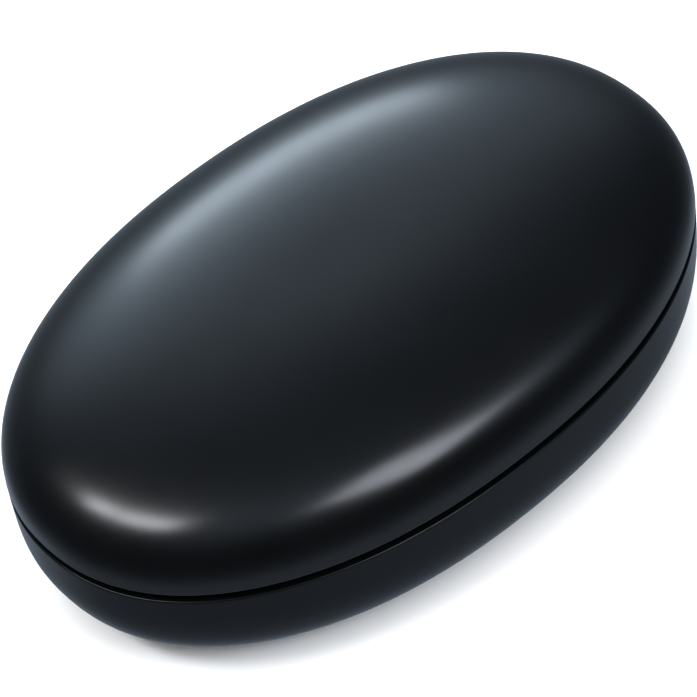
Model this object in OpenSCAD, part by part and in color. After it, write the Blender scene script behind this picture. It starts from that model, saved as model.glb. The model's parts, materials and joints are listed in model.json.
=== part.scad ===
// Charging case for a pair of wireless earbuds: an oval pebble, split by a groove into a
// base and a hinged lid, with the earbud cradle, battery, electronics and magnets inside.
// Millimetres. The case rests on its flat underside at z = 0. Its length runs along X,
// and the hinge and the charging port are on the +Y side.

/* [Case] */
// Overall length of the case
case_length = 70; // [69:0.5:74]
// Overall width of the case
case_width = 44.2; // [43.8:0.2:47]
// Height of the base, from its lowest curve to the middle of the groove
base_height = 12.4; // [12.2:0.1:13]
// Height of the lid, from the middle of the groove to its crown
lid_height = 9.5; // [9.4:0.1:11]
// Width of the groove between lid and base
groove = 0.72; // [0.6:0.02:0.8]
// Edge radius of both rims at the groove
rim_radius = 0.3; // [0.2:0.05:0.4]

/* [Curves] */
// Exponent of the plan outline (2 is an ellipse)
plan_power = 2.17; // [2.1:0.01:2.25]
// Exponent of the base's side curve
base_power = 4.4; // [4.2:0.1:4.8]
// Exponent of the lid's crown
lid_power = 3; // [2.9:0.1:3.4]
// Size of the flat underside, as a share of the outline
rest_share = 0.5; // [0.4:0.05:0.5]

/* [Walls] */
// Wall of the base shell
base_wall = 1.4; // [1.3:0.1:1.4]
// Wall of the lid shell
lid_wall = 1.2; // [1:0.1:1.2]
// Depth of the cradle's deck below the middle of the groove
deck_drop = 1; // [0.9:0.1:1.1]
// Thickness of the cradle's deck
deck_wall = 1.2; // [1.1:0.1:1.3]

/* [Earbud pockets] */
// Radius of the well for the earbud's body
body_well_radius = 9.4; // [9:0.1:9.4]
// Radius of the well for the earbud's tip
tip_well_radius = 6; // [5.6:0.1:6.2]
// Height of the body well's floor
body_well_floor = 4.2; // [4.2:0.1:4.6]
// Height of the tip well's floor
tip_well_floor = 6; // [5.6:0.1:6.4]
// Wall of the wells
well_wall = 0.9; // [0.7:0.1:0.9]

/* [Hinge] */
// Radius of the hinge knuckles
knuckle_radius = 1.9; // [1.7:0.1:1.9]
// Radius of the hinge pin
hinge_pin_radius = 0.6; // [0.5:0.05:0.6]
// Half length of the lid's knuckle
lid_knuckle_half = 4.4; // [4:0.1:4.4]
// Distance from the middle to the outer end of a base knuckle
base_knuckle_end = 9.5; // [9:0.1:9.5]

/* [Controls] */
// Radius of the pairing button
button_radius = 2; // [1.6:0.1:2]
// Travel of the pairing button
button_travel = 0.4; // [0.2:0.1:0.4]
// Travel of a charging pin
pin_travel = 0.6; // [0.4:0.1:0.6]

/* [Hidden] */
$fn = 48;

// Outline and heights
half_length = case_length / 2;
half_width = case_width / 2;
seam_z = base_height * pow(1 - pow(rest_share, base_power), 1 / base_power);
base_rim_z = seam_z - groove / 2;
lid_rim_z = seam_z + groove / 2;
outline_sides = 72;
profile_steps = 10;
edge_steps = 3;
crown_share = 0.1;
eps = 0.01;
cut = 20;

// Cradle
deck_top = seam_z - deck_drop;
deck_bottom = deck_top - deck_wall;
tray_inset = base_wall + 0.25;
tray_rib = 0.95;
lip_inset = 1.7;
lip_wall = 0.9;
lip_rise = 1.64;
skirt_bottom = 8;
seal_height = 0.3;
ledge_height = 0.6;
ledge_z = skirt_bottom - seal_height - ledge_height;

// Earbud pockets, mirrored from the right-hand side
body_well = [18.5, 3];
tip_well = [14.5, -9];
body_fillet = 5;
tip_fillet = 3.4;

// Lid liner
liner_z = lid_rim_z + 0.6;
liner_wall = 0.9;
liner_inset = lid_wall + 0.3;
liner_top = liner_z + liner_wall;
body_dome_radius = 9.6;
body_dome_height = 6.9;
tip_dome_radius = 5.8;
tip_dome_height = 5.4;
pad_radius = 3.4;
pad_wall = 0.6;

// Hinge
hinge_y = half_width - 0.9;
hinge_bay_half = base_knuckle_end + 0.7;
hinge_bay_y = 18.4;
notch_half = base_knuckle_end + 0.5;
base_notch_radius = knuckle_radius + 0.4;
lid_notch_radius = knuckle_radius + 0.6;
knuckle_proud = 0.4;
knuckle_gap = 0.2;
pin_fit = 0.02;
pin_running_fit = 0.05;
spring_bore = 1;
bush_length = 1;
leaf_wall = 1;
base_leaf_z = 9;
screw_radius = 0.5;
screw_head_radius = 0.95;
screw_head_height = 0.6;
screw_fit = 0.02;
screw_clearance = 0.12;
lid_screws = [[-2.8, 15.6], [2.8, 15.6]];
base_screws = [[-8, 15.8], [8, 15.8]];

// Magnets
bar_magnet = [10, 2, 2];
bar_magnet_y = -18.2;
base_magnet_z = deck_bottom - bar_magnet[2] - 0.05;
sensor_magnet_radius = 1.5;
sensor_magnet_height = 1.2;
sensor_place = [7, 15];
bud_magnet_radius = 1.8;
bud_magnet_height = 1.1;
bud_magnet_z = 2.1;
bud_magnet_offset = 4.2;

// Charging pins
pin_spread = 2;
barrel_radius = 0.8;
barrel_fit = 0.03;
barrel_bottom = 2;
barrel_top = 4.5;
barrel_floor = 0.25;
barrel_mouth = 0.2;
collar_radius = 0.6;
collar_height = 0.65;
plunger_radius = 0.42;
plunger_top = 5.5;
plunger_fit = 0.04;
pin_spring_wire = 0.14;
flex_wall = 0.2;
flex_z = barrel_bottom - flex_wall;

// Circuit board and what it carries
pcb_z = 3.6;
pcb_wall = 0.8;
pcb_top = pcb_z + pcb_wall;
pcb_stem = [14, 13.6];
pcb_stem_y = 4.2;
pcb_arm = [25, 4.2];
pcb_arm_y = 12.4;
pcb_screw_places = [[-10.3, 14.6], [10.3, 14.6]];
post_radius = 1.3;
post_root = 1.5;
port_width = 8.94;
port_height = 3.26;
port_length = 7.3;
port_face_y = 20.9;
port_z = pcb_top + port_height / 2;
port_wall = 0.26;
port_clearance = 0.18;
button_y = 10.4;
button_proud = 0.2;
button_fit = 0.1;
button_rim = 0.5;
switch_size = [3, 3, 1.3];
switch_plunger_radius = 0.9;
switch_plunger_proud = 0.45;
guide_y = 5.3;
guide_radius = 0.8;

// Battery
battery_size = [13.6, 18.8, 6.2];
battery_y = -15.5;
battery_z = 2.4;
battery_top = battery_z + battery_size[2];
lead_radius = 0.32;
lead_sides = 8;
// Route of both battery leads, as points [y, z]
lead_route = [
    [2.2, 9.6], [3.2, 9.6], [4, 9.3], [4.3, 8.4], [4.4, 7], [4.7, 6], [5.4, 5.3], [6.1, 5.1],
];

function signed_power(value, power) = sign(value) * pow(abs(value), power);

// One point of the plan outline whose half axes are given
function outline_point(angle, half_x, half_y) = [
    half_x * signed_power(cos(angle), 2 / plan_power),
    half_y * signed_power(sin(angle), 2 / plan_power),
];

function outline(inset, sides = 2 * outline_sides) = [
    for (i = [0 : sides - 1])
        outline_point(360 * i / sides, half_length - inset, half_width - inset)
];

// Rings are [half_x, half_y, z], listed so that the solid lies inside them
function ring_points(rings) = [
    for (ring = rings) for (i = [0 : outline_sides - 1])
        concat(outline_point(360 * i / outline_sides, ring[0], ring[1]), ring[2])
];

function tube_faces(ring_count, sides) = concat(
    [[for (i = [0 : sides - 1]) i]],
    [
        for (r = [0 : ring_count - 2]) for (i = [0 : sides - 1])
            let (next = (i + 1) % sides, low = r * sides, high = low + sides)
            [low + i, high + i, high + next, low + next]
    ],
    [[for (i = [sides - 1 : -1 : 0]) (ring_count - 1) * sides + i]]
);

// Side curve of a half pebble: share of the outline and of the height at an angle
function curve_share(angle, power) = pow(cos(angle), 2 / power);
function curve_rise(angle, power) = pow(sin(angle), 2 / power);
function angle_at_share(share, power) = acos(pow(share, power / 2));
function angle_at_rise(rise, power) = asin(pow(rise, power / 2));

// Rings from the pole end of a half pebble to its rim; way is 1 for up, -1 for down
function half_pebble(inset, height, power, pole_share, rim_rise, way) =
    let (
        pole = angle_at_share(pole_share, power),
        rim = angle_at_rise(rim_rise / height, power)
    )
    [
        for (i = [0 : profile_steps])
            let (
                angle = pole + (rim - pole) * i / profile_steps,
                share = curve_share(angle, power)
            )
            [
                (half_length - inset) * share,
                (half_width - inset) * share,
                seam_z + way * height * curve_rise(angle, power),
            ]
    ];

// Rings that round the outer rim edge over towards the groove
function rim_edge(way) = [
    for (i = [1 : edge_steps])
        let (angle = 90 * i / edge_steps, inset = rim_radius * (1 - cos(angle)))
        [
            half_length - inset,
            half_width - inset,
            seam_z + way * (groove / 2 + rim_radius * (1 - sin(angle))),
        ]
];

function reversed(list) = [for (i = [len(list) - 1 : -1 : 0]) list[i]];

module ring_solid(rings) {
    polyhedron(ring_points(rings), tube_faces(len(rings), outline_sides));
}

module half_shell(height, power, wall, pole_share, way) {
    outer = concat(
        half_pebble(0, height, power, pole_share, groove / 2 + rim_radius, way),
        rim_edge(way)
    );
    inner = half_pebble(wall, height - wall, power, pole_share, groove / 2, way);
    rings = concat(outer, reversed(inner));
    ring_solid(way < 0 ? rings : reversed(rings));
}

module outline_slab(inset, bottom, top) {
    translate([0, 0, bottom]) linear_extrude(top - bottom) polygon(outline(inset));
}

module outline_band(inset, wall, bottom, top) {
    difference() {
        outline_slab(inset, bottom, top);
        outline_slab(inset + wall, bottom - eps, top + eps);
    }
}

// Straight-sided round solid with its bottom edge rounded
module round_well(radius, bottom, top, fillet) {
    rotate_extrude() {
        translate([0, bottom + fillet]) square([radius, top - bottom - fillet]);
        translate([0, bottom]) square([radius - fillet, fillet]);
        intersection() {
            translate([radius - fillet, bottom + fillet]) circle(fillet);
            translate([0, bottom]) square([radius, fillet]);
        }
    }
}

module both_sides() {
    children();
    mirror([1, 0, 0]) children();
}

module block(x, y, z) {
    translate([x[0], y[0], z[0]]) cube([x[1] - x[0], y[1] - y[0], z[1] - z[0]]);
}

module post(place, radius, bottom, top) {
    translate([place[0], place[1], bottom]) cylinder(h = top - bottom, r = radius);
}

// Rod along X about the hinge axis
module hinge_rod(radius, from, to) {
    translate([from, hinge_y, seam_z]) rotate([0, 90, 0]) cylinder(h = to - from, r = radius);
}

// Slot with round ends, along Y, centred on the charging port
module port_slot(width, height, from, to) {
    spread = (width - height) / 2;
    for (side = [-1, 1])
        translate([side * spread, to, port_z])
            rotate([90, 0, 0]) cylinder(h = to - from, r = height / 2);
    block([-spread, spread], [from, to], [port_z - height / 2, port_z + height / 2]);
}

module hinge_bay() {
    block([-hinge_bay_half, hinge_bay_half], [hinge_bay_y, half_width + cut], [0, 2 * cut]);
}

// Room that both parts of the hinge leave in the outline, so they stay near the surface
module knuckle_limit() {
    outline_slab(-knuckle_proud, 0, 2 * cut);
}

module coil(mean_radius, wire_radius, turns, length, sides = 6, steps = 12) {
    ring_count = turns * steps + 1;
    points = [
        for (i = [0 : ring_count - 1]) for (j = [0 : sides - 1])
            let (
                turn = 360 * i / steps,
                round = 360 * j / sides,
                reach = mean_radius + wire_radius * cos(round),
                rise = wire_radius + (length - 2 * wire_radius) * i / (ring_count - 1)
            )
            [reach * cos(turn), reach * sin(turn), rise - wire_radius * sin(round)]
    ];
    polyhedron(points, tube_faces(ring_count, sides));
}

// Screw with its head on the low side (way 1) or the high side (way -1) of z
module screw(place, z, length, way) {
    translate([place[0], place[1], z]) mirror([0, 0, way > 0 ? 0 : 1]) {
        cylinder(h = length, r = screw_radius);
        difference() {
            translate([0, 0, -screw_head_height])
                cylinder(h = screw_head_height, r = screw_head_radius);
            translate([0, 0, -screw_head_height - eps])
                cylinder(h = screw_head_height / 2, r = screw_radius * 0.8, $fn = 6);
        }
    }
}

// ---- Lid ----

module lid_shell() {
    color([0.09, 0.09, 0.1])
        difference() {
            half_shell(lid_height, lid_power, lid_wall, crown_share, 1);
            hinge_rod(lid_notch_radius, -notch_half, notch_half);
        }
}

module dome_solids(grow) {
    translate([body_well[0], body_well[1], 0])
        mirror([0, 0, 1])
            round_well(
                body_dome_radius - grow,
                -(seam_z + body_dome_height - grow), -(liner_z - grow), body_fillet - grow
            );
    translate([tip_well[0], tip_well[1], 0])
        mirror([0, 0, 1])
            round_well(
                tip_dome_radius - grow,
                -(seam_z + tip_dome_height - grow), -(liner_z - grow), tip_fillet - grow
            );
}

module lid_liner() {
    color([0.12, 0.12, 0.13])
        difference() {
            union() {
                outline_slab(liner_inset, liner_z, liner_top);
                both_sides() dome_solids(0);
            }
            both_sides() dome_solids(liner_wall);
            hinge_bay();
            for (place = lid_screws)
                post(place, screw_radius + screw_fit, liner_z - eps, liner_top + eps);
        }
}

module lid_bud_pads() {
    ceiling = seam_z + body_dome_height - liner_wall;
    color([0.2, 0.2, 0.21])
        both_sides() post(body_well, pad_radius, ceiling - pad_wall, ceiling);
}

module lid_hinge_leaf() {
    plate_top = liner_top + leaf_wall;
    half = lid_knuckle_half;
    color([0.62, 0.63, 0.65])
        difference() {
            union() {
                intersection() {
                    hinge_rod(knuckle_radius, -half, half);
                    knuckle_limit();
                }
                block([-half, half], [19, hinge_y - 0.9], [seam_z - 0.6, seam_z + 1.2]);
                block([-half, half], [19, 20.2], [seam_z, plate_top]);
                block([-half, half], [13.8, 19.5], [liner_top, plate_top]);
            }
            hinge_rod(spring_bore, -half - eps, half - bush_length);
            hinge_rod(hinge_pin_radius + pin_running_fit, -half, half + eps);
            for (place = lid_screws)
                post(place, screw_radius + screw_clearance, liner_top - eps, plate_top + eps);
        }
}

module lid_hinge_screws() {
    color([0.75, 0.75, 0.76])
        for (place = lid_screws)
            screw(place, liner_top + leaf_wall, leaf_wall + liner_wall - 0.05, -1);
}

module lid_closing_magnet() {
    color([0.7, 0.7, 0.72])
        translate([-bar_magnet[0] / 2, bar_magnet_y - bar_magnet[1] / 2, liner_top])
            cube(bar_magnet);
}

module lid_sensor_magnet() {
    color([0.7, 0.7, 0.72])
        post(sensor_place, sensor_magnet_radius, liner_top, liner_top + sensor_magnet_height);
}

// ---- Hinge ----

module hinge_bush() {
    from = -lid_knuckle_half;
    color([0.72, 0.6, 0.35])
        difference() {
            hinge_rod(spring_bore - pin_fit, from, from + bush_length);
            hinge_rod(hinge_pin_radius + pin_running_fit, from - eps, from + bush_length + eps);
        }
}

module hinge_pin() {
    end = base_knuckle_end - 0.2;
    color([0.78, 0.78, 0.8]) hinge_rod(hinge_pin_radius, -end, end);
}

module hinge_spring() {
    wire = 0.12;
    half = lid_knuckle_half - bush_length - 0.2;
    color([0.6, 0.6, 0.62])
        translate([-half, hinge_y, seam_z]) rotate([0, 90, 0])
            coil((spring_bore + hinge_pin_radius) / 2, wire, 9, 2 * half);
}

// ---- Base ----

module base_shell() {
    color([0.09, 0.09, 0.1])
        difference() {
            union() {
                half_shell(base_height, base_power, base_wall, rest_share, -1);
                for (place = pcb_screw_places)
                    post(place, post_radius, post_root, pcb_z);
                difference() {
                    outline_band(base_wall - 0.3, 1.1, ledge_z, ledge_z + ledge_height);
                    hinge_bay();
                }
            }
            hinge_rod(base_notch_radius, -notch_half, notch_half);
            port_slot(
                port_width + 2 * port_clearance, port_height + 2 * port_clearance,
                hinge_bay_y, half_width + cut
            );
            for (place = pcb_screw_places)
                post(place, screw_radius + screw_fit, pcb_z - 1.4, pcb_z + eps);
        }
}

module well_solids(grow, top) {
    translate([body_well[0], body_well[1], 0])
        round_well(body_well_radius + grow, body_well_floor - grow, top, body_fillet + grow);
    translate([tip_well[0], tip_well[1], 0])
        round_well(tip_well_radius + grow, tip_well_floor - grow, top, tip_fillet + grow);
}

module cradle_tray() {
    color([0.12, 0.12, 0.13])
        difference() {
            union() {
                outline_slab(tray_inset, deck_bottom, deck_top);
                outline_band(tray_inset, tray_rib, skirt_bottom, deck_bottom + eps);
                outline_band(lip_inset, lip_wall, deck_top - eps, deck_top + lip_rise);
                both_sides() well_solids(well_wall, deck_bottom + eps);
            }
            both_sides() well_solids(0, deck_top + cut);
            hinge_bay();
            both_sides()
                for (side = [-1, 1])
                    post(
                        body_well + [side * pin_spread, 0], barrel_radius + barrel_fit,
                        body_well_floor - well_wall - eps, body_well_floor + eps
                    );
            post([0, button_y], button_radius + button_fit, deck_bottom - eps, deck_top + eps);
            post([0, guide_y], guide_radius + barrel_fit, deck_bottom - eps, deck_top + eps);
            for (place = base_screws)
                post(place, screw_radius + screw_fit, deck_bottom - eps, deck_top - 0.3);
        }
}

module tray_seal() {
    color([0.16, 0.16, 0.17])
        difference() {
            outline_band(tray_inset, 0.8, skirt_bottom - seal_height, skirt_bottom);
            hinge_bay();
        }
}

module base_hinge_leaf() {
    near = lid_knuckle_half + knuckle_gap;
    color([0.62, 0.63, 0.65])
        difference() {
            union() {
                block([-base_knuckle_end, base_knuckle_end], [14, 19.9],
                      [base_leaf_z, base_leaf_z + leaf_wall]);
                both_sides() {
                    intersection() {
                        hinge_rod(knuckle_radius, near, base_knuckle_end);
                        knuckle_limit();
                    }
                    block([near, base_knuckle_end], [18.7, 19.9],
                          [base_leaf_z, seam_z + 0.9]);
                    block([near, base_knuckle_end], [18.7, hinge_y - 0.9],
                          [seam_z - 0.9, seam_z + 0.9]);
                }
            }
            hinge_rod(hinge_pin_radius + pin_fit, -base_knuckle_end - eps, base_knuckle_end + eps);
            for (place = base_screws)
                post(place, screw_radius + screw_clearance,
                     base_leaf_z - eps, base_leaf_z + leaf_wall + eps);
        }
}

module base_hinge_screws() {
    color([0.75, 0.75, 0.76])
        for (place = base_screws) screw(place, base_leaf_z, leaf_wall + 0.8, 1);
}

module base_closing_magnet() {
    color([0.7, 0.7, 0.72])
        translate([-bar_magnet[0] / 2, bar_magnet_y - bar_magnet[1] / 2, base_magnet_z])
            cube(bar_magnet);
}

module bud_magnets(side) {
    color([0.7, 0.7, 0.72])
        for (end = [-1, 1])
            post([side * body_well[0], body_well[1] + end * bud_magnet_offset],
                 bud_magnet_radius, bud_magnet_z, bud_magnet_z + bud_magnet_height);
}

// ---- Charging pins ----

// Place of a charging pin: side -1 is left, and reach -1 is the one nearer the middle
function pin_place(side, reach) = [side * (body_well[0] + reach * pin_spread), body_well[1]];

module pin_barrels(side) {
    color([0.8, 0.65, 0.3])
        for (reach = [-1, 1])
            difference() {
                post(pin_place(side, reach), barrel_radius, barrel_bottom, barrel_top);
                post(pin_place(side, reach), collar_radius + plunger_fit,
                     barrel_bottom + barrel_floor, barrel_top - barrel_mouth);
                post(pin_place(side, reach), plunger_radius + plunger_fit,
                     barrel_top - barrel_mouth - eps, barrel_top + eps);
            }
}

module charge_pin(side, reach) {
    collar_top = barrel_top - barrel_mouth - plunger_fit;
    color([0.85, 0.7, 0.35]) {
        post(pin_place(side, reach), collar_radius, collar_top - collar_height, collar_top);
        post(pin_place(side, reach), plunger_radius,
             collar_top - eps, plunger_top - plunger_radius);
        translate(concat(pin_place(side, reach), plunger_top - plunger_radius))
            sphere(plunger_radius);
    }
}

module pin_spring(side, reach) {
    bottom = barrel_bottom + barrel_floor;
    top = barrel_top - barrel_mouth - plunger_fit - collar_height;
    color([0.6, 0.6, 0.62])
        translate(concat(pin_place(side, reach), bottom))
            coil(0.42, pin_spring_wire / 2, 3, top - bottom);
}

// Ribbon from under the two barrels, along the floor and up to the board's underside
module pin_flex(side) {
    low = [flex_z, flex_z + flex_wall];
    high = [pcb_z - flex_wall, pcb_z];
    color([0.75, 0.45, 0.12])
        mirror([side < 0 ? 1 : 0, 0, 0]) {
            block([8.6, body_well[0] + pin_spread + 1], [body_well[1] - 1, body_well[1] + 1], low);
            block([8.6, 10.6], [body_well[1] - 1, 6], low);
            translate([8.6, 0, 0]) rotate([90, 0, 90])
                linear_extrude(2)
                    polygon([
                        [6, low[0]], [10.5, high[0]], [12.8, high[0]],
                        [12.8, high[1]], [10.4, high[1]], [5.9, low[1]],
                    ]);
        }
}

// ---- Electronics ----

module main_pcb() {
    color([0.05, 0.25, 0.14])
        difference() {
            union() {
                translate([-pcb_stem[0] / 2, pcb_stem_y, pcb_z])
                    cube([pcb_stem[0], pcb_stem[1], pcb_wall]);
                translate([-pcb_arm[0] / 2, pcb_arm_y, pcb_z])
                    cube([pcb_arm[0], pcb_arm[1], pcb_wall]);
            }
            for (place = pcb_screw_places)
                post(place, screw_radius + screw_clearance, pcb_z - eps, pcb_top + eps);
        }
}

module pcb_screws() {
    color([0.75, 0.75, 0.76])
        for (place = pcb_screw_places) screw(place, pcb_top, pcb_wall + 1.2, -1);
}

module usb_shell() {
    color([0.7, 0.71, 0.73])
        difference() {
            port_slot(port_width, port_height, port_face_y - port_length, port_face_y);
            port_slot(port_width - 2 * port_wall, port_height - 2 * port_wall,
                      port_face_y - port_length + port_wall, port_face_y + eps);
        }
}

module usb_tongue() {
    color([0.1, 0.1, 0.1])
        block([-3.34, 3.34], [port_face_y - port_length + port_wall, port_face_y - 0.8],
              [port_z - 0.35, port_z + 0.35]);
}

module usb_contacts() {
    pitch = 0.5;
    color([0.85, 0.7, 0.35])
        for (i = [-5.5 : 5.5]) for (z = [port_z - 0.4, port_z + 0.35])
            block([i * pitch - 0.12, i * pitch + 0.12],
                  [port_face_y - 4.6, port_face_y - 1.2], [z, z + 0.05]);
}

module board_part(place, size) {
    translate([place[0] - size[0] / 2, place[1] - size[1] / 2, pcb_top]) cube(size);
}

module charger_chip() {
    color([0.1, 0.1, 0.11]) board_part([-5.2, 11], [2.6, 2.6, 0.75]);
}

module controller_chip() {
    color([0.1, 0.1, 0.11]) board_part([-4.6, 7], [4, 4, 0.8]);
}

module power_inductor() {
    color([0.3, 0.3, 0.31]) board_part([5.2, 11], [2.4, 2.4, 1.2]);
}

module pcb_capacitors() {
    color([0.65, 0.55, 0.42])
        for (i = [0 : 3]) board_part([-10 + i, 13], [0.5, 1, 0.5]);
}

module hall_sensor() {
    color([0.1, 0.1, 0.11]) board_part(sensor_place, [1.6, 1.6, 0.6]);
}

module status_led() {
    color([0.9, 0.9, 0.85]) board_part([0, guide_y], [1.6, 0.9, 0.6]);
}

module light_guide() {
    color([0.85, 0.87, 0.88]) post([0, guide_y], guide_radius, pcb_top + 0.7, deck_top + 0.05);
}

// ---- Pairing button ----

module button_cap() {
    flange_top = deck_bottom - 0.1;
    foot = pcb_top + switch_size[2] + switch_plunger_proud;
    color([0.2, 0.2, 0.21]) {
        post([0, button_y], button_radius, flange_top - eps, deck_top + button_proud);
        post([0, button_y], button_radius + button_rim, flange_top - button_rim, flange_top);
        post([0, button_y], 1, foot, flange_top - button_rim + eps);
    }
}

module switch_plunger() {
    bottom = pcb_top + 0.75;
    color([0.8, 0.8, 0.8])
        post([0, button_y], switch_plunger_radius, bottom,
             pcb_top + switch_size[2] + switch_plunger_proud);
}

module button_switch() {
    color([0.55, 0.56, 0.58])
        difference() {
            board_part([0, button_y], switch_size);
            post([0, button_y], switch_plunger_radius + 0.06, pcb_top + 0.3,
                 pcb_top + switch_size[2] + eps);
        }
}

// ---- Battery ----

module battery_cell() {
    round = 1.4;
    half = battery_size[0] / 2 - round;
    color([0.72, 0.74, 0.76]) {
        block([-half, half], [battery_y, battery_y + battery_size[1]], [battery_z, battery_top]);
        both_sides() {
            block([half - eps, half + round], [battery_y, battery_y + battery_size[1]],
                  [battery_z + round, battery_top - round]);
            for (z = [battery_z + round, battery_top - round])
                translate([half, battery_y, z])
                    rotate([-90, 0, 0]) cylinder(h = battery_size[1], r = round);
        }
    }
}

module battery_foam() {
    color([0.15, 0.15, 0.16])
        block([-6, 6], [battery_y + 0.6, -2.4], [battery_top, deck_bottom - 0.1]);
}

module battery_protection_board() {
    color([0.05, 0.25, 0.14])
        block([-5.9, 5.9], [-1.6, battery_y + battery_size[1] - 0.4],
              [battery_top, battery_top + 0.5]);
}

module battery_lead(x) {
    count = len(lead_route);
    points = [
        for (i = [0 : count - 1])
            let (
                before = lead_route[max(i - 1, 0)],
                after = lead_route[min(i + 1, count - 1)],
                way = (after - before) / norm(after - before)
            )
            for (j = [0 : lead_sides - 1])
                let (angle = 360 * j / lead_sides)
                [
                    x + lead_radius * cos(angle),
                    lead_route[i][0] + lead_radius * sin(angle) * way[1],
                    lead_route[i][1] - lead_radius * sin(angle) * way[0],
                ]
    ];
    polyhedron(points, tube_faces(count, lead_sides));
}

module battery_lead_positive() {
    color([0.7, 0.05, 0.05]) battery_lead(4.4);
}

module battery_lead_negative() {
    color([0.06, 0.06, 0.06]) battery_lead(5.4);
}

module battery_connector() {
    color([0.85, 0.83, 0.78]) board_part([4.9, 7.2], [2.8, 2.1, 1.2]);
}

lid_shell();
lid_liner();
lid_bud_pads();
lid_hinge_leaf();
lid_hinge_screws();
lid_closing_magnet();
lid_sensor_magnet();
hinge_bush();
hinge_pin();
hinge_spring();
base_shell();
cradle_tray();
tray_seal();
base_hinge_leaf();
base_hinge_screws();
base_closing_magnet();
bud_magnets(-1);  // bud_magnets_left
bud_magnets(1);  // bud_magnets_right
pin_barrels(-1);  // pin_barrels_left
pin_barrels(1);  // pin_barrels_right
charge_pin(-1, -1);  // charge_pin_left_inner
charge_pin(-1, 1);  // charge_pin_left_outer
charge_pin(1, -1);  // charge_pin_right_inner
charge_pin(1, 1);  // charge_pin_right_outer
pin_spring(-1, -1);  // pin_spring_left_inner
pin_spring(-1, 1);  // pin_spring_left_outer
pin_spring(1, -1);  // pin_spring_right_inner
pin_spring(1, 1);  // pin_spring_right_outer
pin_flex(-1);  // pin_flex_left
pin_flex(1);  // pin_flex_right
main_pcb();
pcb_screws();
usb_shell();
usb_tongue();
usb_contacts();
charger_chip();
controller_chip();
power_inductor();
pcb_capacitors();
hall_sensor();
status_led();
light_guide();
button_cap();
switch_plunger();
button_switch();
battery_cell();
battery_foam();
battery_protection_board();
battery_lead_positive();
battery_lead_negative();
battery_connector();
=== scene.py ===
"""Looks for the earbuds charging case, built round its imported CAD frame. Metres throughout."""
import json
import math

import bmesh
import bpy
from mathutils import Matrix, Vector


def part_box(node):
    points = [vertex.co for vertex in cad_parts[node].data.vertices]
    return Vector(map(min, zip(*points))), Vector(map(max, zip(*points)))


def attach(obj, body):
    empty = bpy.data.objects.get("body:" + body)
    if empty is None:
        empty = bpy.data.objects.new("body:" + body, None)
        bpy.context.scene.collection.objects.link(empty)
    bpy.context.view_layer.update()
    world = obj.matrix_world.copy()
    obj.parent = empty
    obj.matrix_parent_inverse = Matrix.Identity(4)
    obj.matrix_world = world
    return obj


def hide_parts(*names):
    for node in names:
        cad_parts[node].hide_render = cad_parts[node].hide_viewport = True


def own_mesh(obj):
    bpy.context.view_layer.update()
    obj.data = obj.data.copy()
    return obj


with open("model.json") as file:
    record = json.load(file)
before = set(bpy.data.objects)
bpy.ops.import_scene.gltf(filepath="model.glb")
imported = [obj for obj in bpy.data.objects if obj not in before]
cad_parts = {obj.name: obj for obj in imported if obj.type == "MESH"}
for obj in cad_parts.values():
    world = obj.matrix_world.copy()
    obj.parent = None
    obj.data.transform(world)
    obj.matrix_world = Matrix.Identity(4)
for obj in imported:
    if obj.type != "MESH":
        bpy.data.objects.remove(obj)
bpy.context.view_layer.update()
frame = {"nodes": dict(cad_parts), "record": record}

MM = 0.001

# ---------------------------------------------------------------- sizes
# Exponents of the case's curves, as in the CAD part: the plan outline and both side curves.
PLAN_POWER = 2.17
BASE_POWER = 4.4
LID_POWER = 3.0
REST_SHARE = 0.5
BASE_WALL = 1.4 * MM
LID_WALL = 1.2 * MM
LID_RIM_RADIUS = 0.4 * MM
BASE_RIM_RADIUS = 0.16 * MM
INNER_RADIUS = 0.15 * MM
LID_POLE_SHARE = 0.02

base_low, base_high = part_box("base_shell")
lid_low, lid_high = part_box("lid_shell")
HALF_LENGTH = base_high.x
HALF_WIDTH = -base_low.y
BASE_RIM = base_high.z
LID_RIM = lid_low.z
SEAM = (BASE_RIM + LID_RIM) / 2
GROOVE = LID_RIM - BASE_RIM
LID_HEIGHT = lid_high.z - SEAM
BASE_HEIGHT = SEAM / (1 - REST_SHARE ** BASE_POWER) ** (1 / BASE_POWER)

pin_low, pin_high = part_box("hinge_pin")
HINGE = Vector((0, (pin_low.y + pin_high.y) / 2, (pin_low.z + pin_high.z) / 2))
KNUCKLE_RADIUS = 1.9 * MM
NOTCH_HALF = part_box("base_hinge_leaf")[1].x + 0.5 * MM
BASE_NOTCH_RADIUS = KNUCKLE_RADIUS + 0.4 * MM
LID_NOTCH_RADIUS = KNUCKLE_RADIUS + 0.6 * MM
port_low, port_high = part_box("usb_shell")
PORT_CLEARANCE = 0.18 * MM
PORT_DEPTH = 4 * MM
PORT_FLARE = 0.25 * MM

# Cradle tray and lid liner, as in the CAD part.
pad_low, pad_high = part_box("lid_bud_pads")
DECK_TOP = SEAM - 1 * MM
DECK_BOTTOM = DECK_TOP - 1.2 * MM
SKIRT_BOTTOM = 8 * MM
TRAY_INSET = 1.65 * MM
TRAY_RIB = 0.95 * MM
LIP_INSET = 1.7 * MM
LIP_WALL = 0.9 * MM
LIP_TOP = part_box("cradle_tray")[1].z
WELL_WALL = 0.9 * MM
LINER_INSET = 1.5 * MM
LINER_WALL = 0.9 * MM
LINER_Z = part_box("lid_liner")[0].z
BODY_WELL = (18.5 * MM, 3 * MM)
TIP_WELL = (14.5 * MM, -9 * MM)
BAY_HALF = 10.2 * MM
BAY_Y = 18.4 * MM
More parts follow.
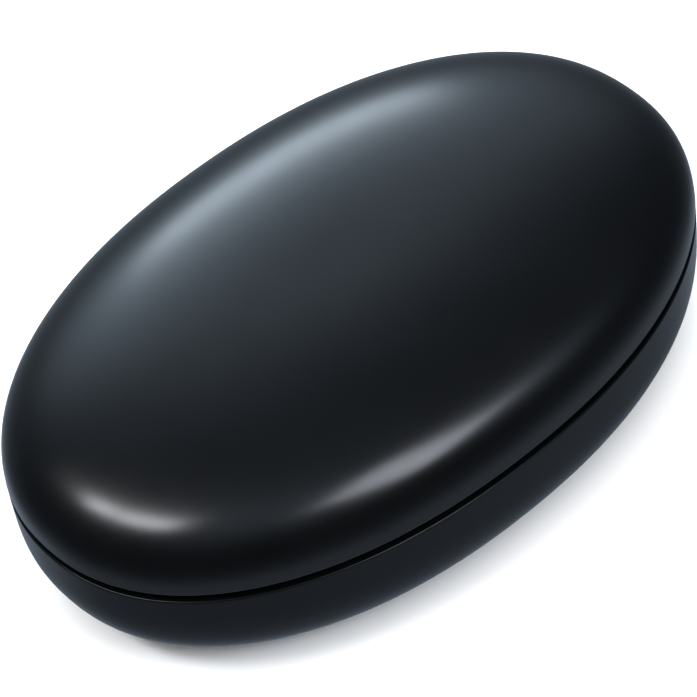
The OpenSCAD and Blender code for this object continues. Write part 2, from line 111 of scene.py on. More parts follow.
# Each pocket: centre, radius, floor height and floor fillet of the well, then radius, height over
# the seam and fillet of the dome over it.
POCKETS = (
    (BODY_WELL, 9.4 * MM, 4.2 * MM, 5 * MM, 9.6 * MM, 6.9 * MM, 5 * MM),
    (TIP_WELL, 6 * MM, 6 * MM, 3.4 * MM, 5.8 * MM, 5.4 * MM, 3.4 * MM),
)
WELL_LIP = 0.4 * MM
DOME_LIP = 0.35 * MM
PIN_SPREAD = 2 * MM
PIN_HOLE_RADIUS = 0.83 * MM
PIN_HOLE_LOW = 3 * MM
PIN_HOLE_HIGH = 4.3 * MM
LID_SCREWS = ((-2.8 * MM, 15.6 * MM), (2.8 * MM, 15.6 * MM))
BASE_SCREWS = ((-8 * MM, 15.8 * MM), (8 * MM, 15.8 * MM))
SCREW_HOLE_RADIUS = 0.52 * MM
button_low, button_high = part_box("button_cap")
BUTTON_PLACE = (0, 10.4 * MM)
GUIDE_PLACE = (0, 5.3 * MM)
BUTTON_HOLE_RADIUS = 2.1 * MM
GUIDE_HOLE_RADIUS = 0.83 * MM
HOLE_FLARE = 0.12 * MM

# Mesh fineness
OUTLINE_SIDES = 288
OUTER_STEPS = 84
INNER_STEPS = 24
RIM_STEPS = 6
FLARE_STEPS = 6
ROUND_SIDES = 128
DISC_SIDES = 96
HOLE_SIDES = 48
EDGE_SEGMENTS = 3
EDGE_DEGREES = 32

# Camera: angles in degrees, and where it aims beside and above the middle of the seam.
CAMERA_LENS = 178.9
CAMERA_AZIMUTH = -34.94
CAMERA_ELEVATION = 48.23
CAMERA_ROLL = -9.29
CAMERA_DISTANCE = 305.3 * MM
AIM_RIGHT = -0.645 * MM
AIM_UP = -2.18 * MM

# Brightness of the world, from straight down (0) past the horizon (0.5) to straight up (1).
WORLD_LEVELS = (
    (0.0, 0.32), (0.04, 0.3), (0.075, 0.26), (0.1, 0.19), (0.118, 0.27), (0.14, 0.4),
    (0.25, 0.14), (0.38, 0.06), (0.5, 0.03), (0.7, 0.03), (0.9, 0.06), (1.0, 0.11),
)
WORLD_TINT = (0.83, 1.0, 1.22)
GLOW_TINT = (0.8, 1.0, 1.2)
# Soft patches of light in the world: azimuth, elevation, sharpness and brightness. Three lie round the
# rear box, one is low behind the case, one is over its front and one is beside the front box.
GLOWS = (
    (154, 30, 40, 1.7), (135, 27, 26, 0.55), (168, 32, 26, 0.9),
    (160, -10, 3, 0.25), (-38, 62, 16, 0.34), (31, 34, 40, 0.5),
)
# Soft dim patches below the horizon: azimuth, elevation, sharpness and the share of the light they take.
SHADES = ((-118, -51, 12, 0.3), (88, -51, 12, 0.3))
LIGHT_DISTANCE = 0.6
FLOOR_HALF = 1.5

# Noise seldom leaves this range, so colours and roughness are spread over it.
NOISE_LOW = 0.3
NOISE_HIGH = 0.7

# Each metal: darkest and lightest colour, least and most roughness, size of the grain in millimetres,
# and how much the noise is squeezed on each axis: below 1 makes the grain long on that axis.
METALS = {
    "hinge_steel": ((0.3, 0.305, 0.315), (0.36, 0.365, 0.375), 0.26, 0.36, 0.1, (0.06, 1, 1)),
    "screw_steel": ((0.44, 0.44, 0.45), (0.56, 0.56, 0.57), 0.2, 0.3, 0.12, (1, 1, 1)),
    "magnet_nickel": ((0.56, 0.55, 0.52), (0.66, 0.65, 0.62), 0.16, 0.26, 0.3, (1, 1, 1)),
    "bush_brass": ((0.6, 0.42, 0.16), (0.74, 0.55, 0.26), 0.2, 0.32, 0.1, (1, 0.1, 0.1)),
    "contact_gold": ((0.78, 0.52, 0.18), (0.9, 0.66, 0.3), 0.14, 0.24, 0.12, (1, 1, 0.08)),
    "spring_steel": ((0.42, 0.42, 0.44), (0.56, 0.56, 0.58), 0.2, 0.32, 0.08, (1, 1, 1)),
    "port_steel": ((0.36, 0.365, 0.38), (0.46, 0.465, 0.48), 0.24, 0.36, 0.1, (1, 0.05, 1)),
}
METAL_DEPTH = 0.0015 * MM

# Each plain plastic: colour, roughness, and the size and the depth of its grain in millimetres.
PLASTICS = {
    "port_plastic": ((0.012, 0.012, 0.013), 0.45, 0.15, 0.003),
    "ferrite": ((0.05, 0.05, 0.053), 0.6, 0.2, 0.012),
    "ceramic_part": ((0.42, 0.3, 0.18), 0.5, 0.12, 0.004),
    "led_body": ((0.75, 0.72, 0.5), 0.35, 0.2, 0.003),
    "button_plastic": ((0.009, 0.0092, 0.01), 0.3, 0.12, 0.002),
    "lead_red": ((0.45, 0.018, 0.012), 0.4, 0.2, 0.004),
    "lead_black": ((0.012, 0.012, 0.013), 0.4, 0.2, 0.004),
    "connector_plastic": ((0.7, 0.66, 0.55), 0.42, 0.2, 0.004),
}


# ---------------------------------------------------------------- node helpers
def calculate(tree, kind, operation, *values):
    """The result of one math node. Each value is a constant or another node's output."""
    node = tree.nodes.new(kind)
    node.operation = operation
    for socket, value in zip(node.inputs, values):
        if isinstance(value, bpy.types.NodeSocket):
            tree.links.new(value, socket)
        else:
            socket.default_value = value
    is_number = kind == "ShaderNodeMath" or operation == "DOT_PRODUCT"
    return node.outputs["Value" if is_number else "Vector"]


class Nodes:
    """Short names for building one material's node tree."""

    def __init__(self, name):
        self.material = bpy.data.materials.new(name)
        self.material.use_nodes = True
        self.tree = self.material.node_tree
        self.shader = self.tree.nodes["Principled BSDF"]
        self.place = self.add("ShaderNodeTexCoord").outputs["Object"]

    def add(self, kind, **settings):
        node = self.tree.nodes.new(kind)
        for key, value in settings.items():
            setattr(node, key, value)
        return node

    def link(self, source, target):
        self.tree.links.new(source, target)

    def noise(self, size, detail=3.0, stretch=(1, 1, 1)):
        """Noise whose blobs are about that size in metres."""
        mapping = self.add("ShaderNodeMapping")
        mapping.inputs["Scale"].default_value = stretch
        self.link(self.place, mapping.inputs["Vector"])
        noise = self.add("ShaderNodeTexNoise")
        noise.inputs["Scale"].default_value = 1 / size
        noise.inputs["Detail"].default_value = detail
        self.link(mapping.outputs["Vector"], noise.inputs["Vector"])
        return noise.outputs["Fac"]

    def roughen(self, value, low, high):
        """Makes the roughness follow the value, from low to high."""
        node = self.add("ShaderNodeMapRange")
        node.inputs["From Min"].default_value = NOISE_LOW
        node.inputs["From Max"].default_value = NOISE_HIGH
        node.inputs["To Min"].default_value = low
        node.inputs["To Max"].default_value = high
        self.link(value, node.inputs["Value"])
        self.link(node.outputs["Result"], self.shader.inputs["Roughness"])

    def paint(self, value, dark, light):
        """Makes the base colour follow the value, from dark to light."""
        ramp = self.add("ShaderNodeValToRGB")
        ramp.color_ramp.elements[0].color = (*dark, 1)
        ramp.color_ramp.elements[0].position = NOISE_LOW
        ramp.color_ramp.elements[1].color = (*light, 1)
        ramp.color_ramp.elements[1].position = NOISE_HIGH
        self.link(value, ramp.inputs["Fac"])
        self.link(ramp.outputs["Color"], self.shader.inputs["Base Color"])

    def bump(self, height, depth, strength=1.0, below=None):
        """Adds relief of that depth in metres, on top of the relief below it if there is one."""
        node = self.add("ShaderNodeBump")
        node.inputs["Strength"].default_value = strength
        node.inputs["Distance"].default_value = depth
        self.link(height, node.inputs["Height"])
        if below is not None:
            self.link(below, node.inputs["Normal"])
        self.link(node.outputs["Normal"], self.shader.inputs["Normal"])
        return node.outputs["Normal"]

    def set(self, **sockets):
        for name, value in sockets.items():
            self.shader.inputs[name.replace("_", " ")].default_value = value


def tint(colour, factor):
    return tuple(min(1.0, c * factor) for c in colour)


# ---------------------------------------------------------------- materials
def plastic(name, colour, roughness, grain, depth):
    """Moulded plastic: faint clouding, uneven gloss and a fine moulded grain."""
    n = Nodes(name)
    cloud = n.noise(6 * MM, 4)
    n.paint(cloud, tint(colour, 0.85), tint(colour, 1.15))
    n.roughen(n.noise(3 * MM, 5), roughness * 0.95, roughness * 1.05)
    n.bump(n.noise(grain * MM, 2), depth * MM)
    n.set(IOR=1.5)
    return n.material


def case_plastic(name, ior):
    """Satin black shell plastic: nearly smooth, with a very fine texture that softens reflections."""
    n = Nodes(name)
    cloud = n.noise(9 * MM, 3)
    dark, light = (0.0013, 0.0015, 0.0018), (0.0018, 0.0021, 0.0025)
    n.paint(cloud, dark, light)
    n.roughen(n.noise(2.5 * MM, 4), 0.235, 0.25)
    n.bump(n.noise(0.09 * MM, 2), 0.0008 * MM)
    n.set(IOR=ior)
    return n.material


def tray_plastic():
    """Moulded black plastic of the tray and liner: spark-eroded grain over faint flow marks."""
    n = Nodes("tray_plastic")
    cloud = n.noise(7 * MM, 4, (1, 0.6, 1))
    n.paint(cloud, (0.0075, 0.0078, 0.0086), (0.0105, 0.0109, 0.0118))
    n.roughen(n.noise(1.6 * MM, 5), 0.34, 0.4)
    broad = n.bump(n.noise(0.5 * MM, 3), 0.0015 * MM)
    n.bump(n.noise(0.11 * MM, 3), 0.004 * MM, 0.8, broad)
    n.set(IOR=1.5)
    return n.material


def silicone(name, colour):
    """Soft rubber: matt, faintly dusty, with a fine skin texture."""
    n = Nodes(name)
    n.paint(n.noise(1.2 * MM, 5), tint(colour, 0.8), tint(colour, 1.25))
    n.roughen(n.noise(0.6 * MM, 4), 0.52, 0.66)
    n.bump(n.noise(0.07 * MM, 2), 0.003 * MM)
    n.set(IOR=1.42, Sheen_Weight=0.15, Sheen_Roughness=0.5)
    return n.material


def foam():
    """Closed-cell foam: small pits between thin walls, the pits coloured darker as painted shade."""
    n = Nodes("seal_foam")
    cells = n.add("ShaderNodeTexVoronoi", feature="DISTANCE_TO_EDGE")
    cells.inputs["Scale"].default_value = 1 / (0.16 * MM)
    n.link(n.place, cells.inputs["Vector"])
    walls = n.add("ShaderNodeMapRange")
    walls.inputs["From Max"].default_value = 0.25
    n.link(cells.outputs["Distance"], walls.inputs["Value"])
    # Painted shade: the pits take the darker colour and the walls take the lighter one.
    n.paint(walls.outputs["Result"], (0.03, 0.03, 0.032), (0.012, 0.012, 0.013))
    n.roughen(n.noise(0.8 * MM), 0.8, 0.92)
    n.bump(walls.outputs["Result"], -0.02 * MM)
    return n.material


def metal(name, dark, light, rough_low, rough_high, grain, stretch):
    """Metal with a grain, which is long on the axes that the stretch shrinks."""
    n = Nodes(name)
    lines = n.noise(grain * MM, 4, stretch)
    cloud = n.noise(1.8 * MM, 4)
    n.paint(cloud, dark, light)
    part = calculate(n.tree, "ShaderNodeMath", "MULTIPLY", lines, 0.6)
    mixed = calculate(n.tree, "ShaderNodeMath", "MULTIPLY_ADD", cloud, 0.4, part)
    n.roughen(mixed, rough_low, rough_high)
    n.bump(lines, METAL_DEPTH)
    n.set(Metallic=1.0)
    return n.material


def board():
    """Solder mask over copper tracks: the tracks stand slightly proud and show lighter."""
    n = Nodes("board_laminate")
    tracks = n.add("ShaderNodeTexBrick", offset=0.35, squash=0.6, squash_frequency=3)
    tracks.inputs["Scale"].default_value = 1 / (1.6 * MM)
    tracks.inputs["Mortar Size"].default_value = 0.06
    tracks.inputs["Mortar Smooth"].default_value = 0.25
    n.link(n.place, tracks.inputs["Vector"])
    n.paint(tracks.outputs["Fac"], (0.006, 0.035, 0.018), (0.012, 0.075, 0.035))
    n.roughen(n.noise(0.9 * MM, 4), 0.3, 0.42)
    low = n.bump(tracks.outputs["Fac"], 0.02 * MM)
    n.bump(n.noise(0.12 * MM, 2), 0.002 * MM, 0.6, low)
    return n.material


def flex_film():
    """Amber polyimide over two copper conductors that run along X."""
    n = Nodes("flex_polyimide")
    bands = n.add("ShaderNodeTexWave", wave_type="BANDS", bands_direction="Y")
    bands.inputs["Scale"].default_value = 1 / (4.4 * MM)
    bands.inputs["Distortion"].default_value = 0.3
    n.link(n.place, bands.inputs["Vector"])
    n.paint(bands.outputs["Fac"], (0.28, 0.1, 0.012), (0.5, 0.21, 0.05))
    n.roughen(n.noise(0.7 * MM, 3), 0.2, 0.32)
    n.bump(bands.outputs["Fac"], 0.01 * MM)
    return n.material


def pouch_foil():
    """Battery pouch: dull laminate foil with pressed wrinkles, darker in their troughs and lighter on
    their ridges as painted shade and painted highlight.
    """
    n = Nodes("cell_pouch")
    folds = n.noise(2.4 * MM, 5, (1, 0.5, 1))
    # The wrinkle noise also sets the colour: painted shade in the troughs and painted highlight on the
    # ridges.
    n.paint(folds, (0.5, 0.51, 0.53), (0.66, 0.67, 0.69))
    n.roughen(n.noise(0.9 * MM, 4), 0.32, 0.46)
    low = n.bump(folds, 0.09 * MM)
    n.bump(n.noise(0.2 * MM, 2), 0.006 * MM, 0.5, low)
    n.set(Metallic=0.9)
    return n.material


def chip_epoxy():
    """Moulded epoxy with filler grains."""
    n = Nodes("chip_epoxy")
    n.paint(n.noise(0.14 * MM, 4), (0.016, 0.016, 0.018), (0.032, 0.032, 0.034))
    n.roughen(n.noise(0.3 * MM, 3), 0.48, 0.6)
    n.bump(n.noise(0.06 * MM, 2), 0.004 * MM)
    return n.material


def clear_guide():
    """Smoked clear plastic of the light guide, slightly frosted."""
    n = Nodes("clear_guide")
    n.paint(n.noise(0.5 * MM, 3), (0.5, 0.52, 0.55), (0.62, 0.64, 0.67))
    n.roughen(n.noise(0.25 * MM, 3), 0.18, 0.28)
    n.bump(n.noise(0.1 * MM, 2), 0.002 * MM)
    n.set(IOR=1.49, Transmission_Weight=0.6)
    return n.material


def build_materials():
    """One finish for each of the record's material slots, and for the base's cover a copy of the shell
    plastic with weaker reflections, as painted shade from the floor close below it.
    """
    finishes = {
        "shell_plastic": case_plastic("case_plastic", 1.5),
        # Painted shade: the same shell plastic with a lower IOR, so the base reflects less, standing in
        # for the floor's shade close below it.
        "base_shell": case_plastic("base_plastic_painted_shade", 1.35),
        "tray_plastic": tray_plastic(),
        "soft_pad": silicone("soft_pad", (0.022, 0.022, 0.024)),
        "seal_foam": foam(),
        "flex_polyimide": flex_film(),
        "board_laminate": board(),
        "chip_epoxy": chip_epoxy(),
        "clear_guide": clear_guide(),
        "cell_pouch": pouch_foil(),
    }
    for name, look in METALS.items():
        finishes[name] = metal(name, *look)
    for name, look in PLASTICS.items():
        finishes[name] = plastic(name, *look)
    return finishes


# ---------------------------------------------------------------- mesh helpers
SLOT_OF = {part["node"]: part["material_slot"] for part in frame["record"]["subparts"]}
BODY_OF = {
    node: body for body, nodes in frame["record"]["behaviour"]["bodies"].items() for node in nodes
}


def piece(name, verts, faces, node, finishes):
    """A new mesh piece that stands for one CAD node and takes its body and the finish of its slot."""
    mesh = bpy.data.meshes.new(name)
    mesh.from_pydata([tuple(v) for v in verts], [], faces)
    mesh.validate()
    mesh.update()
    return adopt(bpy.data.objects.new(name, mesh), node, finishes)


def adopt(obj, node, finishes):
    """Puts the object in the scene in the place of that CAD node."""
    bpy.context.scene.collection.objects.link(obj)
    slot = SLOT_OF[node]
    obj.data.materials.clear()
    obj.data.materials.append(finishes.get(node, finishes[slot]))
    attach(obj, BODY_OF[node])
    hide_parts(node)
    return obj


def outline_point(turn, half_x, half_y):
    """Point of the plan outline at that turn in radians."""
    c, s = math.cos(turn), math.sin(turn)
    power = 2 / PLAN_POWER
    return (
        math.copysign(abs(c) ** power, c) * half_x,
        math.copysign(abs(s) ** power, s) * half_y,
    )


def side_curve(power, steps, pole_share=0.0):
    """(share of the outline, share of the height) from the pole to the rim, evenly spread."""
    ease = power / 2
    pairs = []
    for i in range(steps + 1):
        u = i / steps
        angle = math.pi / 2 * (1 - u ** ease / (u ** ease + (1 - u) ** ease))
        share = math.cos(angle) ** (2 / power)
        if share >= pole_share - 1e-6:
            pairs.append((share, math.sin(angle) ** (2 / power)))
    return pairs


def shell_rings(height, power, wall, pole_share, way, rim_radius):
    """Rings (half_x, half_y, z) up the outside of a half shell, over its rim and back inside."""
    half_x, half_y = HALF_LENGTH, HALF_WIDTH
    rim = GROOVE / 2
    rings = []
    for share, rise in side_curve(power, OUTER_STEPS, pole_share):
        if rise * height > rim + rim_radius:
            rings.append((half_x * share, half_y * share, SEAM + way * height * rise))
    for i in range(RIM_STEPS + 1):
        angle = math.pi / 2 * i / RIM_STEPS
        inset = rim_radius * (1 - math.cos(angle))
        z = rim + rim_radius * (1 - math.sin(angle))
        rings.append((half_x - inset, half_y - inset, SEAM + way * z))
    for i in range(RIM_STEPS + 1):
        angle = math.pi / 2 * i / RIM_STEPS
        inset = wall - INNER_RADIUS * (1 - math.sin(angle))
        z = rim + INNER_RADIUS * (1 - math.cos(angle))
        rings.append((half_x - inset, half_y - inset, SEAM + way * z))
    inner = side_curve(power, INNER_STEPS, pole_share)
    for share, rise in reversed(inner):
        if rise * (height - wall) > rim + INNER_RADIUS:
            rings.append((
                (half_x - wall) * share,
                (half_y - wall) * share,
                SEAM + way * (height - wall) * rise,
            ))
    return rings


def skin_rings(rings, way):
    """Vertices and faces of a closed shell through the rings, its two ends fanned to a point."""
    sides = OUTLINE_SIDES
    verts = []
    for half_x, half_y, z in rings:
        for i in range(sides):
            verts.append((*outline_point(2 * math.pi * i / sides, half_x, half_y), z))
    faces = []
    for r in range(len(rings) - 1):
        low, high = r * sides, (r + 1) * sides
        for i in range(sides):
            j = (i + 1) % sides
            faces.append((low + i, low + j, high + j, high + i))
    for ring, flip in ((0, True), (len(rings) - 1, False)):
        centre = len(verts)
        verts.append((0, 0, rings[ring][2]))
        for i in range(sides):
            a, b = ring * sides + i, ring * sides + (i + 1) % sides
            faces.append((centre, b, a) if flip else (centre, a, b))
    if way > 0:
        faces = [tuple(reversed(f)) for f in faces]
    return verts, faces


def apply_modifiers(obj):
    """Makes the object's modifiers part of its mesh."""
    depsgraph = bpy.context.evaluated_depsgraph_get()
    mesh = bpy.data.meshes.new_from_object(obj.evaluated_get(depsgraph))
    obj.modifiers.clear()
    old = obj.data
    obj.data = mesh
    bpy.data.meshes.remove(old)


def cutter(name, build):
    """A loose object whose mesh the build function fills, for one boolean cut."""
    mesh = bpy.data.meshes.new(name)
    bm = bmesh.new()
    build(bm)
    bmesh.ops.recalc_face_normals(bm, faces=bm.faces)
    bm.to_mesh(mesh)
    bm.free()
    obj = bpy.data.objects.new(name, mesh)
    bpy.context.scene.collection.objects.link(obj)
    return obj


def carve(obj, tools, operation="DIFFERENCE"):
    """Cuts each tool out of the object, or joins it on, and deletes the tool."""
    for tool in tools:
        modifier = obj.modifiers.new("cut", "BOOLEAN")
        modifier.operation = operation
        modifier.solver = "EXACT"
        modifier.object = tool
        bpy.context.view_layer.update()
        apply_modifiers(obj)
        mesh = tool.data
        bpy.data.objects.remove(tool)
        bpy.data.meshes.remove(mesh)


def hinge_rod(radius, half):
    """Fills a bmesh with a rod along X about the hinge axis."""
    def build(bm):
        place = Matrix.Translation(HINGE) @ Matrix.Rotation(math.pi / 2, 4, "Y")
        bmesh.ops.create_cone(
            bm, cap_ends=True, segments=96, radius1=radius, radius2=radius,
            depth=2 * half, matrix=place,
        )
    return build


def base_face_y(x, z):
    """How far back the outside of the base is at that x and z, on its rear side."""
    rise = max(0.0, (SEAM - z) / BASE_HEIGHT)
    share = (1 - rise ** BASE_POWER) ** (1 / BASE_POWER)
    along = abs(x) / (HALF_LENGTH * share)
    return HALF_WIDTH * share * (1 - along ** PLAN_POWER) ** (1 / PLAN_POWER)


def port_slot(grow, depth, flare):
    """Fills a bmesh with the charging port's slot along Y, flared where it meets the outside."""
    def build(bm):
        radius = (port_high.z - port_low.z) / 2 + grow
        reach = (port_high.x - port_low.x) / 2 + grow - radius
        middle = (port_high.z + port_low.z) / 2
        outline = []
        for side in (1, -1):
            for i in range(33):
                turn = math.pi * (i / 32 - 0.5)
                outline.append((side * reach, side * math.cos(turn), side * math.sin(turn)))
        levels = [(0.0, -depth)]
        for i in range(FLARE_STEPS + 1):
            angle = math.pi / 2 * i / FLARE_STEPS
            levels.append((flare * (1 - math.cos(angle)), flare * (math.sin(angle) - 1)))
        levels.append((flare, depth))
        rings = []
        for out, behind in levels:
            ring = []
            for start, right, up in outline:
                x = start + right * (radius + out)
                z = middle + up * (radius + out)
                ring.append(bm.verts.new((x, base_face_y(x, z) + behind, z)))
            rings.append(ring)
        bm.faces.new(rings[0])
        bm.faces.new(list(reversed(rings[-1])))
        for near, far in zip(rings, rings[1:]):
            for i in range(len(near)):
                j = (i + 1) % len(near)
                bm.faces.new((near[i], far[i], far[j], near[j]))
    return build


def mark_sharp(obj, degrees=35):
    """Shades the object smooth, but for edges that turn by more than that many degrees."""
    bm = bmesh.new()
    bm.from_mesh(obj.data)
    bmesh.ops.remove_doubles(bm, verts=bm.verts, dist=1e-7)
    for face in bm.faces:
        face.smooth = True
    limit = math.radians(degrees)
    for edge in bm.edges:
        edge.smooth = len(edge.link_faces) == 2 and edge.calc_face_angle(0) < limit
    bm.to_mesh(obj.data)
    bm.free()


def arc(centre_r, centre_z, radius, start, end, steps=8):
    """Points (r, z) of an arc, from one angle in degrees to another."""
    points = []
    for i in range(steps + 1):
        angle = math.radians(start + (end - start) * i / steps)
        points.append((centre_r + radius * math.cos(angle), centre_z + radius * math.sin(angle)))
    return points


def lathe(bm, centre, profile, sides=ROUND_SIDES):
    """Adds the closed solid that a profile, from pole to pole, sweeps about an upright axis."""
    rings = []
    for r, z in profile:
        if r < 1e-7:
            rings.append([bm.verts.new((centre[0], centre[1], z))])
            continue
        ring = []
        for i in range(sides):
            turn = 2 * math.pi * i / sides
            ring.append(bm.verts.new((centre[0] + r * math.cos(turn), centre[1] + r * math.sin(turn), z)))
        rings.append(ring)
    for low, high in zip(rings, rings[1:]):
        for i in range(sides):
            j = (i + 1) % sides
            corners = [low[i % len(low)], low[j % len(low)], high[j % len(high)], high[i % len(high)]]
            unique = list(dict.fromkeys(corners))
            if len(unique) > 2:
                bm.faces.new(unique)


def turned(name, centre, profile, sides=ROUND_SIDES):
    """A turned solid for one boolean cut."""
    return cutter(name, lambda bm: lathe(bm, centre, profile, sides))


def box_cutter(name, low, high):
    """A box between two corners, for one boolean cut."""
    def build(bm):
        bmesh.ops.create_cube(bm, size=1)
        for vert in bm.verts:
            vert.co = [near + (at + 0.5) * (far - near) for at, near, far in zip(vert.co, low, high)]
    return cutter(name, build)


def hole(place, radius, low, high):
    """A round hole from one height to another, for one boolean cut."""
    return turned("hole", place, [(0, low), (radius, low), (radius, high), (0, high)], HOLE_SIDES)


def turned_piece(name, centres, profile, node, finishes):
    """A piece of one or more turned solids that stands for one CAD node."""
    bm = bmesh.new()
    for centre in centres:
        lathe(bm, centre, profile, DISC_SIDES)
    bmesh.ops.recalc_face_normals(bm, faces=bm.faces)
    mesh = bpy.data.meshes.new(name)
    bm.to_mesh(mesh)
    bm.free()
    obj = adopt(bpy.data.objects.new(name, mesh), node, finishes)
    mark_sharp(obj, 50)
    return obj


def refine(node, width, finishes):
    """The CAD node's own shape with its facets merged, its edges rounded and its curves smooth."""
    name = node + "_fine"
    mesh = frame["nodes"][node].data.copy()
    mesh.name = name
    bm = bmesh.new()
    bm.from_mesh(mesh)
    bmesh.ops.remove_doubles(bm, verts=bm.verts, dist=2e-6)
    bmesh.ops.dissolve_limit(bm, angle_limit=math.radians(0.6), verts=bm.verts, edges=bm.edges)
    bm.to_mesh(mesh)
    bm.free()
    obj = adopt(bpy.data.objects.new(name, mesh), node, finishes)
    if width > 0:
        bevel = obj.modifiers.new("round", "BEVEL")
        bevel.width = width
        bevel.segments = EDGE_SEGMENTS
        bevel.limit_method = "ANGLE"
        bevel.angle_limit = math.radians(EDGE_DEGREES)
        bevel.use_clamp_overlap = True
        bpy.context.view_layer.update()
        apply_modifiers(obj)
    mark_sharp(obj, 40)
    weigh_normals(obj)
    return obj


def weigh_normals(obj):
    """Keeps flat faces looking flat beside rounded edges."""
    normals = obj.modifiers.new("normals", "WEIGHTED_NORMAL")
    normals.keep_sharp = True
    bpy.context.view_layer.update()
    apply_modifiers(obj)


# ---------------------------------------------------------------- shells
def build_lid_shell(finishes):
    """Lid cover: the crowned half with its rounded rim, notched for the hinge."""
    rings = shell_rings(LID_HEIGHT, LID_POWER, LID_WALL, LID_POLE_SHARE, 1, LID_RIM_RADIUS)
    verts, faces = skin_rings(rings, 1)
    obj = piece("lid_cover", verts, faces, "lid_shell", finishes)
    carve(obj, [cutter("notch", hinge_rod(LID_NOTCH_RADIUS, NOTCH_HALF))])
    mark_sharp(obj)


def build_base_shell(finishes):
    """Base cover: the lower half, notched for the hinge and cut for the charging port."""
    rings = shell_rings(BASE_HEIGHT, BASE_POWER, BASE_WALL, REST_SHARE, -1, BASE_RIM_RADIUS)
    verts, faces = skin_rings(rings, -1)
    obj = piece("base_cover", verts, faces, "base_shell", finishes)
    carve(obj, [
        cutter("notch", hinge_rod(BASE_NOTCH_RADIUS, NOTCH_HALF)),
        cutter("port", port_slot(PORT_CLEARANCE, PORT_DEPTH, PORT_FLARE)),
    ])
    mark_sharp(obj)


# ---------------------------------------------------------------- cradle tray and liner
def hinge_bay():
    """The room for the hinge that the tray and the liner leave free at the rear."""
    return box_cutter("bay", (-BAY_HALF, BAY_Y, 0), (BAY_HALF, HALF_WIDTH + 5 * MM, 40 * MM))


def well_profile(radius, floor, fillet, grow):
    """A well below the deck, with a rounded floor edge and, when it is the hollow, a flared mouth."""
    radius, floor, fillet = radius + grow, floor - grow, fillet + grow
    points = [(0, floor)] + arc(radius - fillet, floor + fillet, fillet, -90, 0, 20)
    if grow > 0:
        top = DECK_TOP - 0.5 * MM
        return points + [(radius, top), (0, top)]
    points += arc(radius + WELL_LIP, DECK_TOP - WELL_LIP, WELL_LIP, 180, 90, 8)
    return points + [(radius + WELL_LIP, DECK_TOP + 5 * MM), (0, DECK_TOP + 5 * MM)]


def dome_profile(radius, height, fillet, grow):
    """A dome over the liner's plane; with grow 0 its outside, or else the hollow with a flared mouth."""
    top = SEAM + height - grow
    radius, fillet = radius - grow, fillet - grow
    points = [(0, top)] + arc(radius - fillet, top - fillet, fillet, 90, 0, 20)
    if grow == 0:
        foot = LINER_Z + 0.45 * MM
        return points + [(radius, foot), (0, foot)]
    points += arc(radius + DOME_LIP, LINER_Z + DOME_LIP, DOME_LIP, 180, 270, 8)
    return points + [(radius + DOME_LIP, LINER_Z - 3 * MM), (0, LINER_Z - 3 * MM)]


def both_ways(centre):
    """The place on the left and its mirror image on the right."""
    return [(side * centre[0], centre[1]) for side in (-1, 1)]


def inset_rings(points):
    """Rings for skin_rings from points (inset from the outline, z)."""
    return [(HALF_LENGTH - inset, HALF_WIDTH - inset, z) for inset, z in points]


def tray_section():
    """Points (inset, z) from the middle of the deck over its lip, down the skirt and back below."""
    inner = LIP_INSET + LIP_WALL
    edge = 0.22 * MM
    inside = 0.3 * MM
    far = HALF_WIDTH * 0.9
    section = [(far, DECK_TOP)]
    section += arc(inner + inside, DECK_TOP + inside, inside, -90, -180, 6)
    section += arc(inner - edge, LIP_TOP - edge, edge, 0, 90, 6)
    section += arc(LIP_INSET + edge, LIP_TOP - edge, edge, 90, 180, 6)
    section += [(LIP_INSET, DECK_TOP), (TRAY_INSET, DECK_TOP)]
    section += [(TRAY_INSET, SKIRT_BOTTOM), (TRAY_INSET + TRAY_RIB, SKIRT_BOTTOM)]
    section += [(TRAY_INSET + TRAY_RIB, DECK_BOTTOM), (far, DECK_BOTTOM)]
    return section


def tray_holes():
    """Holes for the contacts, the button, the light guide and the screws, and the hinge bay."""
    holes = [hinge_bay()]
    for x, y in both_ways(BODY_WELL):
        for side in (-1, 1):
            holes.append(hole((x + side * PIN_SPREAD, y), PIN_HOLE_RADIUS, PIN_HOLE_LOW, PIN_HOLE_HIGH))
    for place, radius in ((BUTTON_PLACE, BUTTON_HOLE_RADIUS), (GUIDE_PLACE, GUIDE_HOLE_RADIUS)):
        profile = [(0, DECK_BOTTOM - MM), (radius, DECK_BOTTOM - MM)]
        profile += arc(radius + HOLE_FLARE, DECK_TOP - HOLE_FLARE, HOLE_FLARE, 180, 90, 5)
        profile += [(radius + HOLE_FLARE, DECK_TOP + MM), (0, DECK_TOP + MM)]
        holes.append(turned("hole", place, profile, DISC_SIDES))
    for place in BASE_SCREWS:
        holes.append(hole(place, SCREW_HOLE_RADIUS, DECK_BOTTOM - MM, DECK_TOP - 0.3 * MM))
    return holes


def build_tray(finishes):
    """Cradle deck with its lip, its four wells and its holes."""
    verts, faces = skin_rings(inset_rings(tray_section()), 1)
    obj = piece("cradle_deck", verts, faces, "cradle_tray", finishes)
    cups, wells = [], []
    for centre, radius, floor, fillet, *_ in POCKETS:
        for place in both_ways(centre):
            cups.append(turned("cup", place, well_profile(radius, floor, fillet, WELL_WALL)))
            wells.append(turned("well", place, well_profile(radius, floor, fillet, 0)))
    carve(obj, cups, "UNION")
    carve(obj, wells)
    carve(obj, tray_holes())
    mark_sharp(obj, 32)
    weigh_normals(obj)


